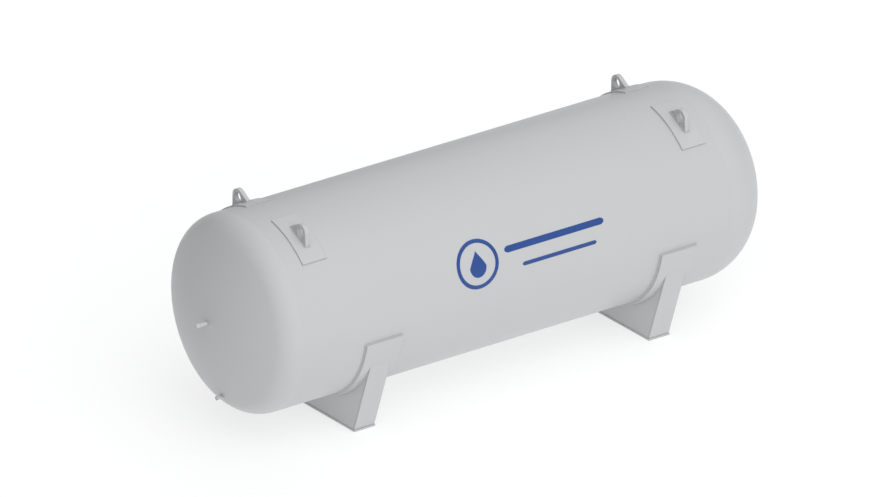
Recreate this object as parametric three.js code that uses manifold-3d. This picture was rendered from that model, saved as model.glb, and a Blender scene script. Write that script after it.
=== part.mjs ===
// Horizontal vacuum-jacketed storage tank for liquid nitrogen, about 2.4 m3 gross.
// Millimetres. +X runs along the tank from the piping head to the plain head, +Z is up,
// and z = 0 is the floor under the two box saddles. x = 0 is midway between the ends.
import * as THREE from 'three';
import { mergeVertices } from 'three/addons/utils/BufferGeometryUtils.js';
import Module from 'manifold-3d';

const wasm = await Module();
wasm.setup();

// ---------------------------------------------------------------- driving dimensions
const GAP = 0.3;                    // assembly clearance between touching pieces

const AXIS_Z = 753;                 // height of the tank axis over the floor
const JACKET_R = 600;               // vacuum jacket, outside radius
const JACKET_T = 8;                 // vacuum jacket wall
const JACKET_N = 48;                // flats round the jacket
const FRONT_TANGENT_X = -1641;      // where the piping head meets the shell
const REAR_TANGENT_X = 1440;        // where the plain head meets the shell
const FRONT_CROWN_R = 1200;         // shallow dished head: crown and knuckle
const FRONT_KNUCKLE_R = 156;
const REAR_CROWN_R = 780;           // deeper dished head
const REAR_KNUCKLE_R = 364;
const RING_X = [-500, 500];         // stiffening rings inside the jacket
const RING_DEPTH = 40;
const RING_T = 8;

const VESSEL_R = 480;               // inner vessel, outside radius
const VESSEL_T = 6;
const VESSEL_N = 32;
const VESSEL_FRONT_X = -1591;
const VESSEL_REAR_X = 1436;
const VESSEL_FRONT_CROWN_R = 960;
const VESSEL_FRONT_KNUCKLE_R = 144;
const VESSEL_REAR_CROWN_R = 624;
const VESSEL_REAR_KNUCKLE_R = 290;
const MLI_T = 20;                   // multilayer insulation blanket

const SUPPORT_R = 40;               // glass-fibre support posts between the two walls
const SUPPORT_ANGLES = [45, 135, 225, 315];
const CANISTER_X = 275;             // adsorbent canister under the inner vessel
const CANISTER_LENGTH = 300;
const CANISTER_R = 22;
const CANISTER_Z = -548;

const PAD_T = 8;                    // doubler pads under the lifting lugs
const PAD_ANGLES = [11.7, 45.3];    // from the top, each side
const PAD_X = { front: [-1527, -1358], rear: [1197, 1366] };
const LUG_ANGLE = 28.4;
const LUG_T = 26;
const LUG_X = { front: -1443, rear: 1282 };
const LUG_BASE_HALF = 81.5;
const LUG_HOLE_RADIUS_AT = 645;     // eye centre, measured from the tank axis
const LUG_HEAD_R = 50;
const LUG_EYE_R = 29.5;

const SADDLE_X = { front: -1063, rear: 1063 };
const SADDLE_WIDTH = 144;           // along the tank
const WEAR_X = { front: [-1198, -944], rear: [922, 1177] };
const WEAR_T = 18;
const WEAR_ANGLE = 100.7;           // from the top to the upper end of the wear plate
const SIDE_T = 10;                  // leaning side plates
const SIDE_TOP = [545, -298];       // outer face, from the tank axis
const SIDE_FOOT = [389.5, -741];
const WEB_T = 10;
const BASE_T = 12;
const BASE_HALF = 394;
const BASE_WIDTH = 150;

const GAS_STUB = { r: 12.5, bore: 9.5, z: 0, tip: -1977, end: -1880 };
const LIQUID_STUB = { r: 12.5, bore: 9.5, z: -493, tip: -1835, end: -1722 };
const STUB_PLUG = { r: 9.3, inset: 1, length: 16 };   // blanks an open pipe end, pulls straight out

const NECK = { r: 44.5, bore: 39.5, flangeR: 76, inner: 1860, flange: 1919, face: 1933 };
const RELIEF_SEAL = { at: 48.5, r: 2.3, groove: [45.5, 51.5], depth: 4 };
const RELIEF_PLATE = { r: 57, x: [1934.8, 1944.8], boss: 12, bossEnd: 1950.8 };
const POST_CIRCLE = 66;
const POST = { r: 7, threadR: 5, x: [1933.3, 1963.2], end: 1977 };
const STOP_RING = { r: 76, bore: 34, x: [1963.5, 1969.5] };
const NUT = { flats: 16, bore: 5.3, x: [1969.8, 1976.5] };

const PORT_Z = -260;                // pump-out port below the relief device
const PORT = { r: 24.15, bore: 19, wide: 21.5, x: [1812, 1890], step: 1869 };
const PLUG = { r: 18.7, x: [1850, 1868], stub: 6, stubEnd: 1878 };
const CAP = { r: 28, bore: 24.5, x: [1870, 1911], floor: 1907 };

// ---------------------------------------------------------------- materials
const finish = (color, roughness, metalness) =>
  () => new THREE.MeshStandardMaterial({ color, roughness, metalness });
const paint = finish(0xc6c8c9, 0.42, 0.0);
const paintDark = finish(0xb4b7b9, 0.5, 0.0);
const stainless = finish(0xb9bcbf, 0.3, 0.9);
const steel = finish(0x9a9d9f, 0.4, 0.9);
const foil = finish(0xd4d6d8, 0.22, 0.85);
const fibreglass = finish(0x9fa873, 0.6, 0.0);
const rubber = finish(0x1c1c1d, 0.8, 0.0);

// ---------------------------------------------------------------- geometry helpers
const RAD = Math.PI / 180;
const root = new THREE.Group();

function merged(geometry) {
  const g = geometry.clone();
  g.deleteAttribute('normal');
  g.deleteAttribute('uv');
  const m = mergeVertices(g, 1e-4);
  const src = m.getIndex().array;
  const kept = [];
  for (let i = 0; i < src.length; i += 3) {
    const [a, b, c] = [src[i], src[i + 1], src[i + 2]];
    if (a !== b && b !== c && c !== a) kept.push(a, b, c);
  }
  const p = m.getAttribute('position').array;
  let volume = 0;
  for (let i = 0; i < kept.length; i += 3) {
    const [a, b, c] = [3 * kept[i], 3 * kept[i + 1], 3 * kept[i + 2]];
    volume += p[a] * (p[b + 1] * p[c + 2] - p[b + 2] * p[c + 1])
      - p[a + 1] * (p[b] * p[c + 2] - p[b + 2] * p[c])
      + p[a + 2] * (p[b] * p[c + 1] - p[b + 1] * p[c]);
  }
  if (volume < 0) for (let i = 0; i < kept.length; i += 3) [kept[i], kept[i + 1]] = [kept[i + 1], kept[i]];
  m.setIndex(kept);
  return m;
}

const solid = (geometry) => {
  const m = merged(geometry);
  return new wasm.Manifold(new wasm.Mesh({
    numProp: 3,
    vertProperties: Float32Array.from(m.getAttribute('position').array),
    triVerts: Uint32Array.from(m.getIndex().array),
  }));
};

const surface = (body) => {
  const mesh = body.getMesh();
  const g = new THREE.BufferGeometry();
  g.setAttribute('position', new THREE.BufferAttribute(Float32Array.from(mesh.vertProperties), 3));
  g.setIndex(Array.from(mesh.triVerts));
  return g;
};

function cut(geometry, ...tools) {
  let body = solid(geometry);
  for (const t of tools) body = body.subtract(solid(t));
  return surface(body);
}

function add(name, geometry, material, parent = root) {
  const g = merged(geometry);
  g.computeVertexNormals();
  const mesh = new THREE.Mesh(g, material());
  mesh.name = name;
  parent.add(mesh);
  return mesh;
}

// A closed profile of [x, r] points turned round the X axis. A profile whose first and
// last points lie on the axis makes a solid of revolution, any other makes a ring.
function turned(profile, segments) {
  const pts = profile.map(([x, r]) => new THREE.Vector2(r, x));
  if (profile[0][1] > 0) pts.push(pts[0].clone());
  return new THREE.LatheGeometry(pts, segments).rotateZ(-Math.PI / 2);
}

// A flat shape with an anticlockwise outline, and its holes.
function flat(outline, holes = []) {
  const points = outline.map(([a, b]) => new THREE.Vector2(a, b));
  const shape = new THREE.Shape(THREE.ShapeUtils.isClockWise(points) ? points.reverse() : points);
  for (const h of holes) shape.holes.push(new THREE.Path(h.map(([a, b]) => new THREE.Vector2(a, b))));
  return shape;
}

// A [y, z] outline pushed along X.
function prismX(outline, x0, x1, holes = []) {
  const shape = flat(outline, holes);
  const g = new THREE.ExtrudeGeometry(shape, { depth: x1 - x0, bevelEnabled: false });
  g.applyMatrix4(new THREE.Matrix4().makeBasis(
    new THREE.Vector3(0, 1, 0), new THREE.Vector3(0, 0, 1), new THREE.Vector3(1, 0, 0)));
  return g.translate(x0, 0, 0);
}

const circle = (r, n, cy = 0, cz = 0) => Array.from({ length: n }, (_, i) =>
  [cy + r * Math.sin((2 * Math.PI * i) / n), cz + r * Math.cos((2 * Math.PI * i) / n)]);

// Points [y, z] along an N-sided ring of corner radius R, between two angles from the top.
function alongRing(R, N, from, to) {
  const step = 360 / N;
  const angles = [from];
  for (let a = (Math.floor(from / step) + 1) * step; a < to - 1e-6; a += step) angles.push(a);
  angles.push(to);
  return angles.map((a) => {
    const local = (((a % step) + step) % step) - step / 2;
    const r = (R * Math.cos((step / 2) * RAD)) / Math.cos(local * RAD);
    return [r * Math.sin(a * RAD), r * Math.cos(a * RAD)];
  });
}

const fullRing = (R, N) => alongRing(R, N, 0, 360 - 360 / N);
const offsetRing = (R, N, d) => R + d / Math.cos(Math.PI / N);

// Outline [x, r] of a dished head from its tangent line to its pole; dir is the way it bulges.
function dish(R, crown, knuckle, tangentX, dir, offset, nk, nc) {
  const h = Math.sqrt((crown - knuckle) ** 2 - (R - knuckle) ** 2);
  const join = Math.asin((R - knuckle) / (crown - knuckle));
  const pts = [];
  for (let i = 0; i <= nk; i++) {
    const t = Math.PI / 2 + ((join - Math.PI / 2) * i) / nk;
    pts.push([tangentX + dir * (knuckle + offset) * Math.cos(t), R - knuckle + (knuckle + offset) * Math.sin(t)]);
  }
  for (let i = 1; i <= nc; i++) {
    const t = join * (1 - i / nc);
    pts.push([tangentX - dir * h + dir * (crown + offset) * Math.cos(t), (crown + offset) * Math.sin(t)]);
  }
  pts[pts.length - 1][1] = 0;
  return pts;
}

function head(R, crown, knuckle, tangentX, dir, outside, inside, segments, outN, inN) {
  const outer = dish(R, crown, knuckle, tangentX, dir, outside, ...outN).reverse();
  const inner = dish(R, crown, knuckle, tangentX, dir, inside, ...inN);
  return turned([...outer, ...inner], segments);
}

const rodX = (r, x0, x1, y, z, n = 16) => prismX(circle(r, n, y, z), x0, x1);

// A round rod along a radial line, at an angle from the top.
function radialRod(r, r0, r1, x, angle, n = 16) {
  const g = new THREE.CylinderGeometry(r, r, r1 - r0, n);
  g.rotateX(Math.PI / 2).translate(0, 0, (r0 + r1) / 2);
  return g.rotateX(-angle * RAD).translate(x, 0, 0);
}

// A pipe along a smooth curve through the given points.
function pipe(points, r, bore, steps, sides = 8) {
  const curve = new THREE.CatmullRomCurve3(points.map((p) => new THREE.Vector3(...p)), false, 'centripetal');
  return new THREE.ExtrudeGeometry(flat(circle(r, sides), [circle(bore, sides)]), { steps, extrudePath: curve, bevelEnabled: false });
}

// Everything round the tank is built about the tank axis and then lifted onto it.
const tank = new THREE.Group();
tank.position.z = AXIS_Z;
root.add(tank);

// ---------------------------------------------------------------- vacuum jacket
const ringOut = (d) => offsetRing(JACKET_R, JACKET_N, d);
const jacketInner = JACKET_R - JACKET_T;

add('jacket_shell', turned([
  [FRONT_TANGENT_X + GAP, JACKET_R], [REAR_TANGENT_X - GAP, JACKET_R],
  [REAR_TANGENT_X - GAP, jacketInner], [FRONT_TANGENT_X + GAP, jacketInner],
], JACKET_N), paint, tank);

add('jacket_front_head', cut(
  head(JACKET_R, FRONT_CROWN_R, FRONT_KNUCKLE_R, FRONT_TANGENT_X, -1, 0, -JACKET_T, JACKET_N, [6, 4], [4, 3]),
  rodX(GAS_STUB.r + GAP, -1950, -1850, 0, GAS_STUB.z, 20),
  rodX(LIQUID_STUB.r + GAP, -1850, -1700, 0, LIQUID_STUB.z, 20),
), paint, tank);

add('jacket_rear_head', cut(
  head(JACKET_R, REAR_CROWN_R, REAR_KNUCKLE_R, REAR_TANGENT_X, 1, 0, -JACKET_T, JACKET_N, [7, 4], [5, 3]),
  rodX(NECK.r + GAP, 1800, 1950, 0, 0, 32),
  rodX(PORT.r + GAP, 1780, 1950, 0, PORT_Z, 24),
), paint, tank);

RING_X.forEach((x, i) => {
  const out = offsetRing(jacketInner, JACKET_N, -GAP);
  add(`jacket_stiffening_ring_${i + 1}`, turned([
    [x - RING_T / 2, out], [x + RING_T / 2, out],
    [x + RING_T / 2, out - RING_DEPTH], [x - RING_T / 2, out - RING_DEPTH],
  ], JACKET_N), steel, tank);
});

// ---------------------------------------------------------------- inner vessel and insulation
const vesselRing = (d) => offsetRing(VESSEL_R, VESSEL_N, d);
const LIQUID_DROP_X = -1420;
const GAS_DROP_X = -1390;
const LINE_R = 9;

const vesselShell = turned([
  [VESSEL_FRONT_X + GAP, VESSEL_R], [VESSEL_REAR_X - GAP, VESSEL_R],
  [VESSEL_REAR_X - GAP, VESSEL_R - VESSEL_T], [VESSEL_FRONT_X + GAP, VESSEL_R - VESSEL_T],
], VESSEL_N);
add('vessel_shell', cut(vesselShell,
  radialRod(6.5, 460, 490, GAS_DROP_X, 0, 12),
  radialRod(6.5, 460, 490, LIQUID_DROP_X, 180, 12),
), stainless, tank);
add('vessel_front_head', head(VESSEL_R, VESSEL_FRONT_CROWN_R, VESSEL_FRONT_KNUCKLE_R, VESSEL_FRONT_X, -1,
  0, -VESSEL_T, VESSEL_N, [3, 2], [3, 2]), stainless, tank);
add('vessel_rear_head', head(VESSEL_R, VESSEL_REAR_CROWN_R, VESSEL_REAR_KNUCKLE_R, VESSEL_REAR_X, 1,
  0, -VESSEL_T, VESSEL_N, [3, 2], [3, 2]), stainless, tank);

const supportSpots = [];
for (const [end, x] of Object.entries(SADDLE_X)) SUPPORT_ANGLES.forEach((a, i) => supportSpots.push([end, i + 1, x, a]));
const footSlots = [CANISTER_X - 90, CANISTER_X + 90];
const wrap = turned([
  [VESSEL_FRONT_X + GAP, vesselRing(0.6)], [VESSEL_REAR_X - GAP, vesselRing(0.6)],
  [VESSEL_REAR_X - GAP, vesselRing(0.6 + MLI_T)], [VESSEL_FRONT_X + GAP, vesselRing(0.6 + MLI_T)],
], VESSEL_N);
add('insulation_wrap', cut(wrap,
  ...supportSpots.map(([, , x, a]) => radialRod(SUPPORT_R + 1, 440, 540, x, a)),
  radialRod(LINE_R + 4, 440, 540, GAS_DROP_X, 0, 12),
  radialRod(LINE_R + 4, 440, 540, LIQUID_DROP_X, 180, 12),
  ...footSlots.map((x) => new THREE.BoxGeometry(14, 32, 80).translate(x, 0, -490)),
), foil, tank);
add('insulation_front_blanket', head(VESSEL_R, VESSEL_FRONT_CROWN_R, VESSEL_FRONT_KNUCKLE_R, VESSEL_FRONT_X, -1,
  0.6 + MLI_T, 0.6, VESSEL_N, [3, 2], [3, 2]), foil, tank);
add('insulation_rear_blanket', head(VESSEL_R, VESSEL_REAR_CROWN_R, VESSEL_REAR_KNUCKLE_R, VESSEL_REAR_X, 1,
  0.6 + MLI_T, 0.6, VESSEL_N, [3, 2], [3, 2]), foil, tank);

// ---------------------------------------------------------------- support posts, between the walls
const betweenWalls = (body) => {
  const outer = prismX(fullRing(offsetRing(jacketInner, JACKET_N, -GAP), JACKET_N), -1400, 1400);
  const inner = prismX(fullRing(vesselRing(GAP), VESSEL_N), -1500, 1500);
  return surface(body.intersect(solid(outer)).subtract(solid(inner)));
};
for (const [end, i, x, a] of supportSpots) {
  add(`support_post_${end}_${i}`, betweenWalls(solid(radialRod(SUPPORT_R, 450, 610, x, a))), fibreglass, tank);
}

// Adsorbent canister, hung from the inner vessel by two feet.
{
  let body = solid(rodX(CANISTER_R, CANISTER_X - CANISTER_LENGTH / 2, CANISTER_X + CANISTER_LENGTH / 2, 0, CANISTER_Z, 20));
  for (const x of footSlots) body = body.add(solid(new THREE.BoxGeometry(8, 26, 90).translate(x, 0, CANISTER_Z + 45)));
  body = body.subtract(solid(prismX(fullRing(vesselRing(GAP), VESSEL_N), -1500, 1500)));
  add('adsorbent_canister', surface(body), steel, tank);
}

// ---------------------------------------------------------------- piping
for (const [name, s] of [['gas_stub_pipe', GAS_STUB], ['liquid_stub_pipe', LIQUID_STUB]]) {
  add(name, turned([[s.tip, s.r], [s.end, s.r], [s.end, s.bore], [s.tip, s.bore]], 20).translate(0, 0, s.z), stainless, tank);
}
for (const [name, s] of [['gas_stub_plug', GAS_STUB], ['liquid_stub_plug', LIQUID_STUB]]) {
  const x = s.tip + STUB_PLUG.inset;
  add(name, turned([[x, 0], [x, STUB_PLUG.r], [x + STUB_PLUG.length, STUB_PLUG.r], [x + STUB_PLUG.length, 0]], 20)
    .translate(0, 0, s.z), paintDark, tank);
}
add('gas_line', pipe([
  [GAS_STUB.end + GAP, 0, 0], [-1872, 0, 0], [-1860, 0, 18], [-1853, 0, 70], [-1842, 0, 180], [-1815, 0, 300], [-1781, 0, 400],
  [-1733, 0, 478], [-1650, 0, 536], [-1560, 0, 548], [-1450, 0, 546], [-1400, 0, 528], [GAS_DROP_X, 0, 502], [GAS_DROP_X, 0, 481.6],
], LINE_R, 6.5, 20), stainless, tank);
add('liquid_line', pipe([
  [LIQUID_STUB.end + GAP, 0, LIQUID_STUB.z], [-1712, 0, LIQUID_STUB.z], [-1694, 0, -502], [-1660, 0, -538], [-1600, 0, -548], [-1500, 0, -548],
  [-1440, 0, -538], [-1425, 0, -524], [LIQUID_DROP_X, 0, -502], [LIQUID_DROP_X, 0, -481.6],
], LINE_R, 6.5, 16), stainless, tank);

// Left and right as seen when facing along +X from the piping head.
const SIDES = [['left', 1], ['right', -1]];

// ---------------------------------------------------------------- lifting lugs on doubler pads
for (const end of ['front', 'rear']) {
  for (const [side, s] of SIDES) {
    const [a0, a1] = PAD_ANGLES;
    const inner = alongRing(ringOut(GAP), JACKET_N, a0, a1);
    const outer = alongRing(ringOut(GAP + PAD_T), JACKET_N, a0, a1).reverse();
    const outline = [...inner, ...outer].map(([y, z]) => [s * y, z]);
    add(`lug_pad_${end}_${side}`, prismX(outline, ...PAD_X[end]), paint, tank);

    // Plate with a round head, tangent sides and an eye; across the tank, standing on the pad.
    const c = LUG_HOLE_RADIUS_AT;
    const footZ = 590;
    const baseZ = Math.sqrt((JACKET_R + PAD_T) ** 2 - LUG_BASE_HALF ** 2);
    const d = Math.hypot(LUG_BASE_HALF, c - baseZ);
    const toCorner = Math.atan2(baseZ - c, LUG_BASE_HALF);
    const touch = toCorner + Math.acos(LUG_HEAD_R / d);
    const arc = [];
    for (let i = 0; i <= 16; i++) {
      const t = touch + ((Math.PI - 2 * touch) * i) / 16;
      arc.push([LUG_HEAD_R * Math.cos(t), c + LUG_HEAD_R * Math.sin(t)]);
    }
    const plate = prismX([[LUG_BASE_HALF, footZ], [LUG_BASE_HALF, baseZ], ...arc, [-LUG_BASE_HALF, baseZ], [-LUG_BASE_HALF, footZ]],
      LUG_X[end] - LUG_T / 2, LUG_X[end] + LUG_T / 2, [circle(LUG_EYE_R, 24, 0, c)]);
    plate.rotateX(-s * LUG_ANGLE * RAD);
    const padTop = prismX(fullRing(ringOut(2 * GAP + PAD_T), JACKET_N), -1800, 1800);
    add(`lifting_lug_${end}_${side}`, cut(plate, padTop), paint, tank);
  }
}

// ---------------------------------------------------------------- box saddles
const belly = () => prismX(fullRing(ringOut(2 * GAP + WEAR_T), JACKET_N), -1800, 1800);
const lean = Math.atan2(SIDE_TOP[0] - SIDE_FOOT[0], SIDE_TOP[1] - SIDE_FOOT[1]);
const sideAcross = SIDE_T / Math.cos(lean);
const footZ = -AXIS_Z + BASE_T + GAP;
const outerY = (z) => SIDE_FOOT[0] + (z - SIDE_FOOT[1]) * Math.tan(lean);
const TOP_Z = -230;

for (const end of ['front', 'rear']) {
  const x = SADDLE_X[end];
  const x0 = x - SADDLE_WIDTH / 2;
  const x1 = x + SADDLE_WIDTH / 2;

  add(`saddle_wear_plate_${end}`, prismX([
    ...alongRing(ringOut(GAP), JACKET_N, WEAR_ANGLE, 360 - WEAR_ANGLE),
    ...alongRing(ringOut(GAP + WEAR_T), JACKET_N, WEAR_ANGLE, 360 - WEAR_ANGLE).reverse(),
  ], ...WEAR_X[end]), paint, tank);

  for (const [side, s] of SIDES) {
    const outline = [[outerY(footZ) - sideAcross, footZ], [outerY(footZ), footZ],
      [outerY(TOP_Z), TOP_Z], [outerY(TOP_Z) - sideAcross, TOP_Z]].map(([y, z]) => [s * y, z]);
    add(`saddle_side_plate_${end}_${side}`, cut(prismX(outline, x0, x1), belly()), paint, tank);
  }

  const inY = (z) => outerY(z) - sideAcross - GAP / Math.cos(lean);
  const web = [[-inY(footZ), footZ], [inY(footZ), footZ], [inY(TOP_Z), TOP_Z], [-inY(TOP_Z), TOP_Z]];
  add(`saddle_front_web_${end}`, cut(prismX(web, x0, x0 + WEB_T), belly()), paint, tank);
  add(`saddle_rear_web_${end}`, cut(prismX(web, x1 - WEB_T, x1), belly()), paint, tank);

  add(`saddle_base_plate_${end}`,
    new THREE.BoxGeometry(BASE_WIDTH, 2 * BASE_HALF, BASE_T).translate(x, 0, -AXIS_Z + BASE_T / 2), paint, tank);
}

// ---------------------------------------------------------------- jacket relief device, on the plain head
add('relief_neck', turned([
  [NECK.inner, NECK.bore], [NECK.inner, NECK.r], [NECK.flange, NECK.r], [NECK.flange, NECK.flangeR],
  [NECK.face, NECK.flangeR], [NECK.face, RELIEF_SEAL.groove[1]],
  [NECK.face - RELIEF_SEAL.depth, RELIEF_SEAL.groove[1]], [NECK.face - RELIEF_SEAL.depth, RELIEF_SEAL.groove[0]],
  [NECK.face, RELIEF_SEAL.groove[0]], [NECK.face, NECK.bore],
], 32), paintDark, tank);
add('relief_seal', new THREE.TorusGeometry(RELIEF_SEAL.at, RELIEF_SEAL.r, 6, 24)
  .rotateY(Math.PI / 2).translate(1932.0, 0, 0), rubber, tank);
add('relief_plate', turned([
  [RELIEF_PLATE.x[0], 0], [RELIEF_PLATE.x[0], RELIEF_PLATE.r - 1.5], [RELIEF_PLATE.x[0] + 1.5, RELIEF_PLATE.r],
  [RELIEF_PLATE.x[1] - 1.5, RELIEF_PLATE.r], [RELIEF_PLATE.x[1], RELIEF_PLATE.r - 1.5],
  [RELIEF_PLATE.x[1], RELIEF_PLATE.boss], [RELIEF_PLATE.bossEnd, RELIEF_PLATE.boss], [RELIEF_PLATE.bossEnd, 0],
], 32), stainless, tank);
const spots = [0, 120, 240].map((a) => [POST_CIRCLE * Math.sin(a * RAD), POST_CIRCLE * Math.cos(a * RAD)]);
spots.forEach(([y, z], i) => {
  add(`relief_guide_post_${i + 1}`, turned([
    [POST.x[0], 0], [POST.x[0], POST.r], [POST.x[1], POST.r], [POST.x[1], POST.threadR], [POST.end, POST.threadR], [POST.end, 0],
  ], 12).translate(0, y, z), steel, tank);
  add(`relief_nut_${i + 1}`, prismX(circle(NUT.flats / Math.sqrt(3), 6, y, z), ...NUT.x, [circle(NUT.bore, 12, y, z)]), steel, tank);
});
add('relief_stop_ring', prismX(circle(STOP_RING.r, 32), ...STOP_RING.x,
  [circle(STOP_RING.bore, 24), ...spots.map(([y, z]) => circle(NUT.bore, 12, y, z))]), paintDark, tank);

// ---------------------------------------------------------------- vacuum pump-out port, below it
add('vacuum_port_body', turned([
  [PORT.x[0], PORT.bore], [PORT.x[0], PORT.r], [PORT.x[1], PORT.r], [PORT.x[1], PORT.wide], [PORT.step, PORT.wide], [PORT.step, PORT.bore],
], 24).translate(0, 0, PORT_Z), stainless, tank);
add('vacuum_port_plug', turned([
  [PLUG.x[0], 0], [PLUG.x[0], PLUG.r], [PLUG.x[0] + 7, PLUG.r], [PLUG.x[0] + 7, 15.4], [PLUG.x[0] + 11, 15.4],
  [PLUG.x[0] + 11, PLUG.r], [PLUG.x[1], PLUG.r], [PLUG.x[1], PLUG.stub], [PLUG.stubEnd, PLUG.stub], [PLUG.stubEnd, 0],
], 24).translate(0, 0, PORT_Z), steel, tank);
add('vacuum_port_seal', new THREE.TorusGeometry(17.25, 1.45, 6, 24)
  .rotateY(Math.PI / 2).translate(PLUG.x[0] + 9, 0, PORT_Z), rubber, tank);
add('vacuum_port_cap', turned([
  [CAP.floor, 0], [CAP.floor, CAP.bore], [CAP.x[0], CAP.bore], [CAP.x[0], CAP.r],
  [CAP.x[1] - 2, CAP.r], [CAP.x[1], CAP.r - 2], [CAP.x[1], 0],
], 24).translate(0, 0, PORT_Z), paintDark, tank);

export default root;
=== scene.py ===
"""Looks of a horizontal vacuum-jacketed liquid nitrogen tank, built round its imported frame."""
import math

import bmesh
import bpy
import numpy as np
from mathutils import Matrix, Vector
from mathutils.geometry import tessellate_polygon


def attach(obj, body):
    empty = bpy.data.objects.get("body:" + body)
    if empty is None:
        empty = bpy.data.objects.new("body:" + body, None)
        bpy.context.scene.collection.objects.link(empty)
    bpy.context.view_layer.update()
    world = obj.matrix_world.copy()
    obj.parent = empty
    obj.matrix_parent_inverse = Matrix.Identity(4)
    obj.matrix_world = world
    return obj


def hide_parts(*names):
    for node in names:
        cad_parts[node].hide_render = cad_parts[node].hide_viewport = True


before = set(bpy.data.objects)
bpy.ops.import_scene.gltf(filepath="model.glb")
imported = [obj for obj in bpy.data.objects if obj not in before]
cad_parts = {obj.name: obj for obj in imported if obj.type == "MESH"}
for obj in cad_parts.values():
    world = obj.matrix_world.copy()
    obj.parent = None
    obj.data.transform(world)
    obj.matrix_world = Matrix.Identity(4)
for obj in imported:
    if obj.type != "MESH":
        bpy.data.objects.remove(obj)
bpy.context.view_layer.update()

scene = bpy.context.scene
rng = np.random.default_rng(7)

# ------------------------------------------------------------------ sizes, in mm about the tank axis
AX = 753.0
R0, WALL = 600.0, 8.0
FRONT = dict(R=600.0, crown=1200.0, knuckle=156.0, tangent=-1641.0, d=-1)
REAR = dict(R=600.0, crown=780.0, knuckle=364.0, tangent=1440.0, d=1)
V_FRONT = dict(R=480.0, crown=960.0, knuckle=144.0, tangent=-1591.0, d=-1)
V_REAR = dict(R=480.0, crown=624.0, knuckle=290.0, tangent=1436.0, d=1)
PAD_T, PAD_A = 8.0, (11.7, 45.3)
PAD_X = {"front": (-1527.0, -1358.0), "rear": (1197.0, 1366.0)}
LUG_A, LUG_T, LUG_HALF, LUG_C, LUG_R, EYE_R = 28.4, 26.0, 81.5, 645.0, 50.0, 29.5
LUG_X = {"front": -1443.0, "rear": 1282.0}
SADDLE_X = {"front": -1063.0, "rear": 1063.0}
WEAR_X = {"front": (-1198.0, -944.0), "rear": (922.0, 1177.0)}
WEAR_T, WEAR_A = 18.0, 100.7
SIDE_T, WEB_T, BASE_T = 10.0, 10.0, 12.0
SIDE_TOP, SIDE_FOOT = (545.0, -298.0), (389.5, -741.0)
BASE_HALF, BASE_W, BOX_W = 394.0, 150.0, 144.0
SIDES = (("left", 1), ("right", -1))
GAS = dict(r=12.5, bore=9.5, z=0.0, tip=-1977.0, end=-1880.0)
LIQ = dict(r=12.5, bore=9.5, z=-493.0, tip=-1835.0, end=-1722.0)
PORT_Z = -260.0

# ------------------------------------------------------------------ camera and light
GAM, EPS, ROLL = math.radians(36.36) - 0.00093958, math.radians(24.43) - 0.00011383, -0.00042477
right0 = Vector((math.cos(GAM), -math.sin(GAM), 0))
up0 = Vector((math.sin(GAM) * math.sin(EPS), math.cos(GAM) * math.sin(EPS), math.cos(EPS)))
cam_back = right0.cross(up0)
cam_right = right0 * math.cos(ROLL) + up0 * math.sin(ROLL)
cam_up = up0 * math.cos(ROLL) - right0 * math.sin(ROLL)
LENS, SENSOR, FRAME_W = 800.0, 36.0, 5.11226
centre = Vector((-0.147542, 0.091579, 0.722791))
target = centre - cam_right * 0.00712754 - cam_up * 0.00198734
cam_data = bpy.data.cameras.new("camera")
cam_data.lens, cam_data.sensor_width, cam_data.sensor_fit = LENS, SENSOR, "HORIZONTAL"
cam = bpy.data.objects.new("camera", cam_data)
scene.collection.objects.link(cam)
dist = FRAME_W * LENS / SENSOR * 1.00206741
cam.location = target + cam_back * dist
turn = Matrix((cam_right, cam_up, cam_back)).transposed()
cam.rotation_mode = "QUATERNION"
cam.rotation_quaternion = turn.to_quaternion()
cam_data.clip_start, cam_data.clip_end = dist - 60, dist + 60
scene.camera = cam
scene.view_settings.view_transform = "Standard"

# soft light banks on the upper dome: strength, direction, and how tightly each is gathered
BANKS = [(0.138, (0.047, -0.12, 0.992), 7), (0.151, (0.274, 0.08, 0.958), 7), (0.272, (0.337, -0.248, 0.908), 7),
         (0.158, (0.32, 0.364, 0.875), 7), (0.951, (0.011, -0.513, 0.858), 7), (0.203, (0.589, 0.321, 0.742), 7),
         (0.936, (-0.223, -0.652, 0.725), 7), (0.22, (0.364, 0.659, 0.658), 7), (0.214, (0.18, -0.746, 0.642), 7),
         (0.391, (0.642, 0.559, 0.525), 7), (0.64, (-0.097, -0.856, 0.508), 7), (0.268, (-0.414, -0.829, 0.375), 7),
         (0.241, (0.567, 0.764, 0.308), 7), (0.073, (-0.241, -0.957, 0.158), 7), (1.76, (-0.19, -0.95, 0.25), 90),
         (1.44, (0.75, -0.5, 0.43), 90), (2.0, (-0.56, 0.02, 0.83), 90)]
ENV_GAIN, ENV_BASE = 1.0, 0.020


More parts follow.
